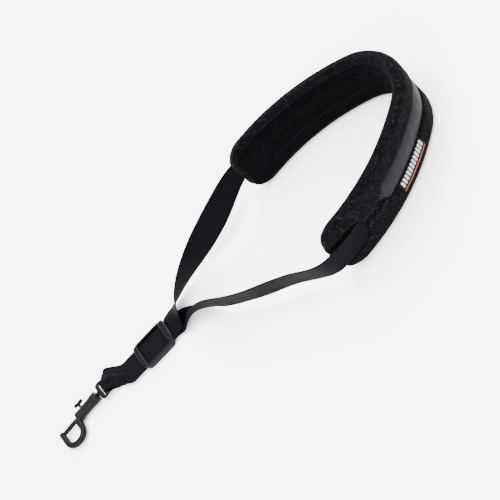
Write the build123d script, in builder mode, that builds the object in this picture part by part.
from build123d import *
from math import cos, pi, radians, sin
import os

# A saxophone neck strap laid out on a table. The padded neck piece stands on its long lower
# edge, bent into a U. Its two webbing legs twist flat, pass through a slider one above the
# other, and end in a loop round the eye of a swivel snap hook.
# +X runs from the hook to the top of the U, and the origin is under the middle of the whole
# strap, on the table.

# Webbing: nylon, one inch wide
webbing_width = 25
webbing_thickness = 1.2

# Neck pad
pad_height = 62
pad_thickness = 13
pad_corner_radius = 5
pad_end_radius = 22
corner_overrun = 0.3
fabric_thickness = 1.2
apex_x = 219.2
bend_radius = 44.3
bend_half_angle = 56.2
flank_radius = 202
flank_angle = 39.8
channel_width = 22
channel_floor = 2.9
pocket_width = 26
pocket_floor = 1.7
pocket_length = 70

# Satin strip in the pad's channel, and the stitching round it
strip_width = 20
strip_thickness = 0.9
strip_end_gap = 36
thread_width = 0.7
thread_height = 0.35
seam_spacing = 20
seam_end_gap = 34
box_length = 30
box_width = 16
tack_size = 8
tack_end_gap = 28

# Woven label on the lower lobe
label_length = 46
label_height = 12
label_thickness = 0.5
label_end_gap = 80
label_level = 8

# Doubled webbing under the slider
strap_heading = 175
slider_x = -102
slider_y = 44.3
doubled_start = 22
leg_sections = 14
under_level = 3.3
over_level = under_level + webbing_thickness + 0.15
gather_start_x = -138
tail_end_x = -155
return_end_x = -147
loop_width = 14.5

# Slider
slider_length = 40
slider_width = 30
slider_height = 7.8
slider_corner = 4
slot_width = webbing_width + 0.7
slot_floor = 2.4
slot_roof = 5.5
head_bar = 6.5
foot_bar = 5
centre_bar = 7

# Swivel snap hook
hook_y = 57.8
hook_level = 5.5
eye_x = -163.7
eye_bar_radius = 1.5
eye_width = 20
eye_length = 9.5
eye_side = 2.3
eye_base = 2.8
eye_corner = 2.9
loop_clearance = 0.4
collar_front_x = -174
collar_length = 6.5
collar_radius = 5.5
barrel_radius = 5
barrel_end_x = -201.7
stem_radius = 2
stem_head_radius = 3.4
stem_head_length = 1.8
swivel_clearance = 0.06
head_cavity_x = -175.6
head_cavity_length = 2.2
spring_cavity_x = -179.4
bolt_radius = 2.25
bolt_clearance = 0.07
bolt_rear_x = -191
bolt_tip_x = -219.3
bolt_travel = 9
knob_x = -193.5
knob_stem_radius = 1.5
knob_stem_top = 11.4
knob_length = 10.5
knob_radius = 1.3
slot_clearance = 0.1
arm_radius = 2.8
arm_side_y = 38
arm_front_x = -223.2
arm_corner = 9.3
spring_wire = 0.5
spring_radius = 1.7
spring_turns = 4


# ---- Shared geometry -----------------------------------------------------------------------
bend_centre = Vector(apex_x - bend_radius, 0)
flank_shift = bend_radius - flank_radius
flank_centre = bend_centre + Vector(cos(radians(bend_half_angle)), 0) * flank_shift
flank_centre_y = sin(radians(bend_half_angle)) * flank_shift
end_angle = bend_half_angle + flank_angle
pad_middle = pad_height / 2


def flank_arc(side, from_end, to_end, offset=0):
    """Stretch of one flank (side 1 is left, -1 right) between two distances from the pad's end."""
    start = end_angle - (from_end / flank_radius) * 180 / pi
    finish = end_angle - (to_end / flank_radius) * 180 / pi
    with BuildLine() as line:
        CenterArc(
            (flank_centre.X, side * flank_centre_y),
            flank_radius + offset,
            side * start,
            side * (finish - start),
        )
    return line.line


def pad_path(end_gap=0, offset=0):
    """The pad's mid-line from the right end round the bend to the left end."""
    reach = flank_angle - (end_gap / flank_radius) * 180 / pi
    with BuildLine() as line:
        CenterArc(
            (flank_centre.X, -flank_centre_y),
            flank_radius + offset,
            -bend_half_angle - reach,
            reach,
        )
        CenterArc(bend_centre, bend_radius + offset, -bend_half_angle, 2 * bend_half_angle)
        CenterArc((flank_centre.X, flank_centre_y), flank_radius + offset, bend_half_angle, reach)
    return line.line


def section_plane(path):
    """Plane across the start of a path: local x is up, local y is level."""
    return Plane(origin=path @ 0, x_dir=(0, 0, 1), z_dir=path % 0)


def outward(path):
    """1 where local y of the path's section plane points out of the U, else -1."""
    plane = section_plane(path)
    away = (path @ 0) - Vector(flank_centre.X, 0)
    return 1 if plane.y_dir.dot(Vector(0, away.Y, 0)) > 0 else -1


def band(path, low, high, inner, outer, mode=Mode.ADD):
    """Sweeps a rectangle from low to high and from inner to outer (measured out of the U)."""
    side = outward(path)
    with BuildSketch(section_plane(path)) as profile:
        with Locations(((low + high) / 2, side * (inner + outer) / 2)):
            Rectangle(high - low, outer - inner)
    sweep(profile.sketch, path=path, mode=mode)


def round_end(side, gap, low, high, radius):
    """Rounds the two corners of a pad end, seen from the side."""
    edge = flank_arc(side, gap, gap + radius)
    away = -(edge % 0)
    face = Plane(origin=edge @ 0, x_dir=away, z_dir=away.cross(Vector(0, 0, 1)))
    for level, up in ((low, -1), (high, 1)):
        inside = level - up * (radius - corner_overrun)
        height = inside if face.y_dir.Z > 0 else -inside
        way = up if face.y_dir.Z > 0 else -up
        with BuildSketch(face) as corner:
            with Locations((2 - (radius + 2) / 2, height + way * (radius + 2) / 2)):
                Rectangle(radius + 2, radius + 2)
            with Locations((corner_overrun - radius, height)):
                Circle(radius, mode=Mode.SUBTRACT)
        extrude(corner.sketch, amount=pad_thickness, both=True, mode=Mode.SUBTRACT)


def thread_box(side, from_end, length, width, inner, outer, crossed):
    """A sewn rectangle on the pad, with or without a cross, as raised thread."""
    middle = flank_arc(side, from_end + length / 2, from_end + length)
    normal = Vector((middle @ 0).X - flank_centre.X, (middle @ 0).Y - side * flank_centre_y)
    normal = normal.normalized()
    face = Plane(origin=middle @ 0, x_dir=middle % 0, z_dir=normal)
    up = 1 if face.y_dir.Z > 0 else -1
    with BuildSketch(face) as stitches:
        with Locations((0, up * pad_middle)):
            Rectangle(length, width)
            Rectangle(length - 2 * thread_width, width - 2 * thread_width, mode=Mode.SUBTRACT)
            if crossed:
                slant = Vector(length - thread_width, width - thread_width)
                turn = slant.get_angle(Vector(1, 0))
                Rectangle(slant.length, thread_width, rotation=turn)
                Rectangle(slant.length, thread_width, rotation=-turn)
    extrude(stitches.sketch, amount=pad_thickness, both=True)
    path = flank_arc(side, from_end - 1, from_end + length + 1)
    low = pad_middle - width
    high = pad_middle + width
    band(path, low, high, inner, outer, Mode.INTERSECT)


# ---- Neck pad ------------------------------------------------------------------------------
middle_path = pad_path()

with BuildPart() as foam:
    inner_path = pad_path(end_gap=fabric_thickness)
    with BuildSketch(section_plane(inner_path)):
        with Locations((pad_middle, 0)):
            RectangleRounded(
                pad_height - 2 * fabric_thickness,
                pad_thickness - 2 * fabric_thickness,
                pad_corner_radius - fabric_thickness,
            )
    sweep(path=inner_path)
    half = channel_width / 2 + fabric_thickness
    band(
        inner_path,
        pad_middle - half,
        pad_middle + half,
        channel_floor - fabric_thickness,
        pad_thickness,
        Mode.SUBTRACT,
    )
    half = pocket_width / 2 + fabric_thickness
    for side in (1, -1):
        band(
            flank_arc(side, 0, pocket_length + fabric_thickness),
            pad_middle - half,
            pad_middle + half,
            pocket_floor - fabric_thickness,
            pad_thickness,
            Mode.SUBTRACT,
        )
        round_end(
            side,
            fabric_thickness,
            fabric_thickness,
            pad_height - fabric_thickness,
            pad_end_radius - fabric_thickness,
        )


def pad_skin(inner, outer):
    """The pad's fabric between two offsets from the mid-line, with the foam left out."""
    with BuildSketch(section_plane(middle_path)) as profile:
        with Locations((pad_middle, 0)):
            RectangleRounded(pad_height, pad_thickness, pad_corner_radius)
        with Locations((pad_middle, outward(middle_path) * (inner + outer) / 2)):
            Rectangle(pad_height + 2, outer - inner, mode=Mode.INTERSECT)
    sweep(profile.sketch, path=middle_path)
    half = channel_width / 2
    band(
        middle_path,
        pad_middle - half,
        pad_middle + half,
        channel_floor,
        pad_thickness,
        Mode.SUBTRACT,
    )
    half = pocket_width / 2
    for side in (1, -1):
        band(
            flank_arc(side, 0, pocket_length),
            pad_middle - half,
            pad_middle + half,
            pocket_floor,
            pad_thickness,
            Mode.SUBTRACT,
        )
        round_end(side, 0, 0, pad_height, pad_end_radius)
    add(foam.part, mode=Mode.SUBTRACT)


with BuildPart() as cover:
    pad_skin(0, pad_thickness)

with BuildPart() as lining:
    pad_skin(-pad_thickness, 0)

with BuildPart() as strip:
    band(
        pad_path(end_gap=strip_end_gap),
        pad_middle - strip_width / 2,
        pad_middle + strip_width / 2,
        channel_floor,
        channel_floor + strip_thickness,
    )

strip_face = channel_floor + strip_thickness
pad_face = pad_thickness / 2


def channel_seam(level):
    """One row of thread along the pad's inner face, below or above its middle."""
    band(
        pad_path(end_gap=seam_end_gap),
        level - thread_width / 2,
        level + thread_width / 2,
        -pad_face - thread_height,
        -pad_face,
    )


with BuildPart() as upper_seam:
    channel_seam(pad_middle + seam_spacing / 2)

with BuildPart() as lower_seam:
    channel_seam(pad_middle - seam_spacing / 2)

box_gap = strip_end_gap + 1.5

with BuildPart() as left_box_stitch:
    thread_box(1, box_gap, box_length, box_width, strip_face, strip_face + thread_height, True)

with BuildPart() as right_box_stitch:
    thread_box(-1, box_gap, box_length, box_width, strip_face, strip_face + thread_height, True)

with BuildPart() as left_tack_stitch:
    thread_box(1, tack_end_gap, tack_size, tack_size, -pad_face - thread_height, -pad_face, False)

with BuildPart() as right_tack_stitch:
    thread_box(-1, tack_end_gap, tack_size, tack_size, -pad_face - thread_height, -pad_face, False)

with BuildPart() as label:
    band(
        flank_arc(-1, label_end_gap, label_end_gap + label_length),
        label_level,
        label_level + label_height,
        pad_face,
        pad_face + label_thickness,
    )

with BuildPart() as label_stitch:
    for end in (label_end_gap + 1, label_end_gap + label_length - 1 - thread_width):
        band(
            flank_arc(-1, end, end + thread_width),
            label_level + 1,
            label_level + label_height - 1,
            pad_face + label_thickness,
            pad_face + label_thickness + thread_height,
        )


# ---- Webbing legs --------------------------------------------------------------------------
heading = Vector(cos(radians(strap_heading)), sin(radians(strap_heading)))
across = Vector(-heading.Y, heading.X)
doubled_top = Vector(slider_x, slider_y) - heading * doubled_start
leg_offset = pocket_floor + webbing_thickness / 2


def angle_at(share, turns):
    """Angle of the webbing's top edge from upright, read off (share of the way, degrees) turns."""
    for (low, low_angle), (high, high_angle) in zip(turns, turns[1:]):
        if share <= high:
            return low_angle + (high_angle - low_angle) * (share - low) / (high - low)
    return turns[-1][1]


def leg(side, level, waypoints, turns):
    """Webbing from its sewn end in the pad's pocket down to the top of the doubled stretch."""
    sewn = flank_arc(side, pocket_length - 2, 0, leg_offset)
    with BuildSketch(section_plane(sewn)) as profile:
        with Locations((pad_middle, 0)):
            Rectangle(webbing_width, webbing_thickness)
    sweep(profile.sketch, path=sewn)
    start = (sewn @ 1) + Vector(0, 0, pad_middle)
    finish = Vector(doubled_top.X, doubled_top.Y, level)
    with BuildLine() as path:
        Spline(start, *waypoints, finish, tangents=(sewn % 1, heading))
    profiles = []
    for count in range(leg_sections + 1):
        share = count / leg_sections
        forward = path.line % share
        level_out = Vector(forward.Y, -forward.X).normalized() * side
        upright = forward.cross(level_out).normalized()
        upright = upright if upright.Z > 0 else -upright
        angle = radians(angle_at(share, turns))
        edge_way = upright * cos(angle) - level_out * sin(angle)
        across_leg = Plane(origin=path.line @ share, x_dir=edge_way, z_dir=forward)
        with BuildSketch(across_leg) as profile:
            Rectangle(webbing_width, webbing_thickness)
        profiles.append(profile.sketch)
    loft(profiles)


def doubled_stretch(side_path):
    """Flat webbing down to the hook's eye: a side profile cut to the outline seen from above."""
    with BuildSketch(Plane.XZ) as side_profile:
        trace(side_path, line_width=webbing_thickness)
    extrude(side_profile.sketch, amount=-100)
    near_left = doubled_top - across * webbing_width / 2
    near_right = doubled_top + across * webbing_width / 2
    run = (gather_start_x - doubled_top.X) / heading.X
    far_left = near_left + heading * run
    far_right = near_right + heading * run
    loop_left = Vector(eye_x, hook_y + loop_width / 2)
    loop_right = Vector(eye_x, hook_y - loop_width / 2)
    end_left = loop_left - Vector(5, 0)
    end_right = loop_right - Vector(5, 0)
    with BuildSketch() as outline:
        with BuildLine():
            Line(near_left, far_left)
            Spline(far_left, far_left + Vector(-13, 7), loop_left, tangents=(heading, (-1, 0)))
            Polyline(loop_left, end_left, end_right, loop_right)
            Spline(loop_right, far_right + Vector(-10, 7), far_right, tangents=((1, 0), -heading))
            Line(far_right, near_right)
            Line(near_right, near_left)
        make_face()
    extrude(outline.sketch, amount=40, both=True, mode=Mode.INTERSECT)


def side_view(x, z):
    """A point of a side profile: x along the strap, z up."""
    return Vector(x, z)


loop_radius = eye_bar_radius + loop_clearance + webbing_thickness / 2
stack = webbing_thickness + 0.1
return_level = hook_level - loop_radius

with BuildLine() as under_line:
    rise = side_view(return_end_x, return_level + stack)
    Line(side_view(doubled_top.X + 5, under_level), side_view(gather_start_x, under_level))
    Spline(side_view(gather_start_x, under_level), rise, tangents=((-1, 0), (-1, 0)))
    Line(rise, side_view(tail_end_x, return_level + stack))

with BuildLine() as over_line:
    rise = side_view(return_end_x, return_level + 2 * stack)
    Line(side_view(doubled_top.X + 5, over_level), side_view(gather_start_x, over_level))
    Spline(side_view(gather_start_x, over_level), rise, tangents=((-1, 0), (-1, 0)))
    crest = side_view(eye_x, hook_level + loop_radius)
    Spline(rise, crest, tangents=((-1, 0), (-1, 0)))
    JernArc(crest, (-1, 0), loop_radius, 180)
    Line(side_view(eye_x, return_level), side_view(return_end_x, return_level))

left_waypoints = [
    (33.5, 70, 28.4),
    (1.4, 65.1, 24.1),
    (-30, 60, 19.7),
    (-47, 56, 16),
    (-60, 51.5, 11.8),
    (-70, 47, 7.8),
    (-76, 44, 5.3),
]
left_turns = [(0, 0), (0.1, -12), (0.3, -35), (0.42, -26), (0.63, 5), (0.83, 36), (0.9, 58), (0.96, 88), (1, 90)]
right_waypoints = [
    (33, -53.5, 29.8),
    (2.3, -30.4, 28.4),
    (-26.4, -3.9, 25.6),
    (-38, 12.2, 20.5),
    (-47, 25, 12.5),
    (-57, 33.5, 6.5),
    (-67, 38.8, 3.8),
    (-74, 41, 3.3),
]
right_turns = [(0, 0), (0.1, -8), (0.66, -8), (0.8, -25), (0.87, -60), (0.92, -86), (0.94, -90), (1, -90)]


def leg_end_cut():
    """Trims the doubled stretch square to the strap where the twisted leg joins it."""
    face = Plane(origin=doubled_top, x_dir=across, z_dir=heading)
    split(bisect_by=face, keep=Keep.TOP)


with BuildPart() as left_doubled:
    doubled_stretch(over_line.line)
    leg_end_cut()

with BuildPart() as left_leg:
    leg(1, over_level, left_waypoints, left_turns)
    add(left_doubled.part)

with BuildPart() as right_doubled:
    doubled_stretch(under_line.line)
    leg_end_cut()

with BuildPart() as right_leg:
    leg(-1, under_level, right_waypoints, right_turns)
    add(right_doubled.part)

with BuildPart() as loop_stitch:
    for x in (return_end_x - 1.5, tail_end_x + 2.5):
        with BuildSketch(Plane.XY.offset(return_level - webbing_thickness / 2 - thread_height)):
            with Locations((x, hook_y - 2)):
                Rectangle(thread_width, 12)
        extrude(amount=thread_height)


# ---- Slider --------------------------------------------------------------------------------
slider_plane = Plane(origin=(slider_x, slider_y, 0), x_dir=heading, z_dir=(0, 0, 1))

with BuildPart() as slider:
    with BuildSketch(slider_plane):
        RectangleRounded(slider_length, slider_width, slider_corner)
    extrude(amount=slider_height)
    fillet(slider.faces().sort_by(Axis.Z)[-1].edges(), 1.2)
    fillet(slider.faces().sort_by(Axis.Z)[0].edges(), 0.6)
    with BuildSketch(slider_plane.offset(slot_floor)):
        Rectangle(slider_length + 2, slot_width)
    extrude(amount=slot_roof - slot_floor, mode=Mode.SUBTRACT)
    window = slider_length - head_bar - foot_bar
    with BuildSketch(slider_plane.offset(slot_roof)):
        with Locations(((head_bar - foot_bar) / 2, 0)):
            Rectangle(window, slot_width)
    extrude(amount=slider_height, mode=Mode.SUBTRACT)
    under_window = (slider_length - centre_bar) / 2
    with BuildSketch(slider_plane):
        for way in (1, -1):
            with Locations((way * (centre_bar + under_window) / 2, 0)):
                Rectangle(under_window + 2, slot_width)
            with Locations((0, 0)):
                Rectangle(centre_bar, slot_width, mode=Mode.SUBTRACT)
    extrude(amount=slot_floor, mode=Mode.SUBTRACT)


# ---- Swivel snap hook ----------------------------------------------------------------------
hook_plane = Plane(origin=(0, hook_y, hook_level), x_dir=(1, 0, 0), z_dir=(0, 0, 1))
# Side-on half profiles are drawn above the hook's long axis and turned round it.
turning_axis = Axis((0, hook_y, hook_level), (1, 0, 0))


def turned(low_x, high_x, radius, mode=Mode.ADD):
    """A round length of the hook between two places on its axis."""
    face = Plane(origin=(low_x, hook_y, hook_level), x_dir=(0, 1, 0), z_dir=(1, 0, 0))
    with BuildSketch(face) as disc:
        Circle(radius)
    extrude(disc.sketch, amount=high_x - low_x, mode=mode)


head_front_x = head_cavity_x - (head_cavity_length - stem_head_length) / 2

with BuildPart() as swivel_eye:
    ring_x = eye_x + eye_bar_radius - eye_length / 2
    with BuildSketch(hook_plane.offset(-eye_bar_radius)):
        with Locations((ring_x, 0)):
            RectangleRounded(eye_length, eye_width, eye_corner)
    extrude(amount=2 * eye_bar_radius)
    # Seen from the side the ring is a flat bar with a round nose at the crossbar.
    with BuildSketch(Plane(origin=(0, hook_y, hook_level), x_dir=(1, 0, 0), z_dir=(0, 1, 0))):
        with Locations((ring_x, 0)):
            SlotOverall(eye_length, 2 * eye_bar_radius)
    extrude(amount=eye_width, both=True, mode=Mode.INTERSECT)
    window = eye_length - eye_bar_radius - eye_base
    with BuildSketch(hook_plane.offset(-eye_bar_radius)):
        with Locations((eye_x - window / 2, 0)):
            Rectangle(window, eye_width - 2 * eye_side)
    extrude(amount=2 * eye_bar_radius, mode=Mode.SUBTRACT)
    crossbar_end = hook_y - eye_width / 2 + eye_side / 2
    crossbar_start = Plane(origin=(eye_x, crossbar_end, hook_level), z_dir=(0, 1, 0))
    with BuildSketch(crossbar_start):
        Circle(eye_bar_radius)
    extrude(amount=eye_width - eye_side)
    turned(head_front_x, eye_x - eye_length + eye_base, stem_radius)
    turned(head_front_x - stem_head_length, head_front_x, stem_head_radius)

with BuildPart() as hook_body:
    turned(collar_front_x - collar_length, collar_front_x, collar_radius)
    turned(barrel_end_x, collar_front_x - collar_length, barrel_radius)
    corner_y = hook_y - barrel_radius + arm_radius
    with BuildLine(Plane.XY.offset(hook_level)) as arm_line:
        FilletPolyline(
            (barrel_end_x + 4, corner_y),
            (barrel_end_x - 0.8, corner_y),
            (barrel_end_x - 2.8, arm_side_y),
            (arm_front_x, arm_side_y),
            (arm_front_x, hook_y + arm_radius),
            radius=(1.5, arm_corner, arm_corner),
        )
    with BuildSketch(Plane(origin=arm_line.line @ 0, z_dir=arm_line.line % 0)):
        Circle(arm_radius)
    sweep(path=arm_line.line)
    tip = Vector(arm_front_x, hook_y + arm_radius, hook_level)
    with BuildSketch(Plane(origin=tip, x_dir=(1, 0, 0), z_dir=(0, -1, 0))):
        Circle(arm_radius)
    extrude(amount=0.01)
    turned(head_cavity_x, collar_front_x, stem_radius + swivel_clearance, mode=Mode.SUBTRACT)
    turned(
        head_cavity_x - head_cavity_length,
        head_cavity_x,
        stem_head_radius + 0.1,
        mode=Mode.SUBTRACT,
    )
    bore = bolt_radius + bolt_clearance
    turned(barrel_end_x - 4, spring_cavity_x, bore, mode=Mode.SUBTRACT)
    slot_reach = knob_stem_radius + slot_clearance
    slot_length = bolt_travel + 2 * slot_reach
    with BuildSketch(Plane(origin=(0, hook_y, hook_level), x_dir=(1, 0, 0), z_dir=(0, 1, 0))):
        with Locations((knob_x + bolt_travel / 2, 0)):
            SlotOverall(slot_length, 2 * slot_reach)
    extrude(amount=barrel_radius + 1, mode=Mode.SUBTRACT)

with BuildPart() as bolt:
    turned(bolt_tip_x, bolt_rear_x, bolt_radius)
    with BuildSketch(Plane(origin=(knob_x, hook_y, hook_level), x_dir=(1, 0, 0), z_dir=(0, 1, 0))):
        Circle(knob_stem_radius - 0.4)
    extrude(amount=bolt_radius + 1, mode=Mode.SUBTRACT)

with BuildPart() as thumb_knob:
    with BuildSketch(Plane(origin=(knob_x, hook_y, hook_level), x_dir=(1, 0, 0), z_dir=(0, 1, 0))):
        Circle(knob_stem_radius - 0.4)
    extrude(amount=bolt_radius + 0.4)
    stem_foot = hook_y + bolt_radius + 0.1
    with BuildSketch(Plane(origin=(knob_x, stem_foot, hook_level), x_dir=(1, 0, 0), z_dir=(0, 1, 0))):
        Circle(knob_stem_radius)
    extrude(amount=knob_stem_top - bolt_radius)
    grip_y = hook_y + knob_stem_top + knob_radius / 2
    grip_x = knob_x - knob_length / 2
    with BuildSketch(Plane(origin=(grip_x, grip_y, hook_level), x_dir=(0, 1, 0), z_dir=(1, 0, 0))):
        Circle(knob_radius)
    extrude(amount=knob_length)

with BuildPart() as bolt_spring:
    spring_gap = 0.25
    spring_length = spring_cavity_x - bolt_rear_x - 2 * spring_gap - spring_wire
    spring_start = Vector(bolt_rear_x + spring_gap + spring_wire / 2, hook_y, hook_level)
    coil = Helix(
        pitch=spring_length / spring_turns,
        height=spring_length,
        radius=spring_radius,
        center=spring_start,
        direction=(1, 0, 0),
    )
    with BuildSketch(Plane(origin=coil @ 0, z_dir=coil % 0)):
        Circle(spring_wire / 2)
    sweep(path=coil, is_frenet=True)


# ---- Output --------------------------------------------------------------------------------
nodes = {
    "pad_foam": foam,
    "pad_cover": cover,
    "pad_lining": lining,
    "pad_strip": strip,
    "upper_seam": upper_seam,
    "lower_seam": lower_seam,
    "left_box_stitch": left_box_stitch,
    "right_box_stitch": right_box_stitch,
    "left_tack_stitch": left_tack_stitch,
    "right_tack_stitch": right_tack_stitch,
    "label": label,
    "label_stitch": label_stitch,
    "left_leg_webbing": left_leg,
    "right_leg_webbing": right_leg,
    "loop_stitch": loop_stitch,
    "slider": slider,
    "swivel_eye": swivel_eye,
    "hook_body": hook_body,
    "bolt": bolt,
    "thumb_knob": thumb_knob,
    "bolt_spring": bolt_spring,
}

os.makedirs("parts", exist_ok=True)
for node, piece in nodes.items():
    piece.part.label = node
    export_step(piece.part, f"parts/{node}.step")
    print(node, round(piece.part.volume, 1))
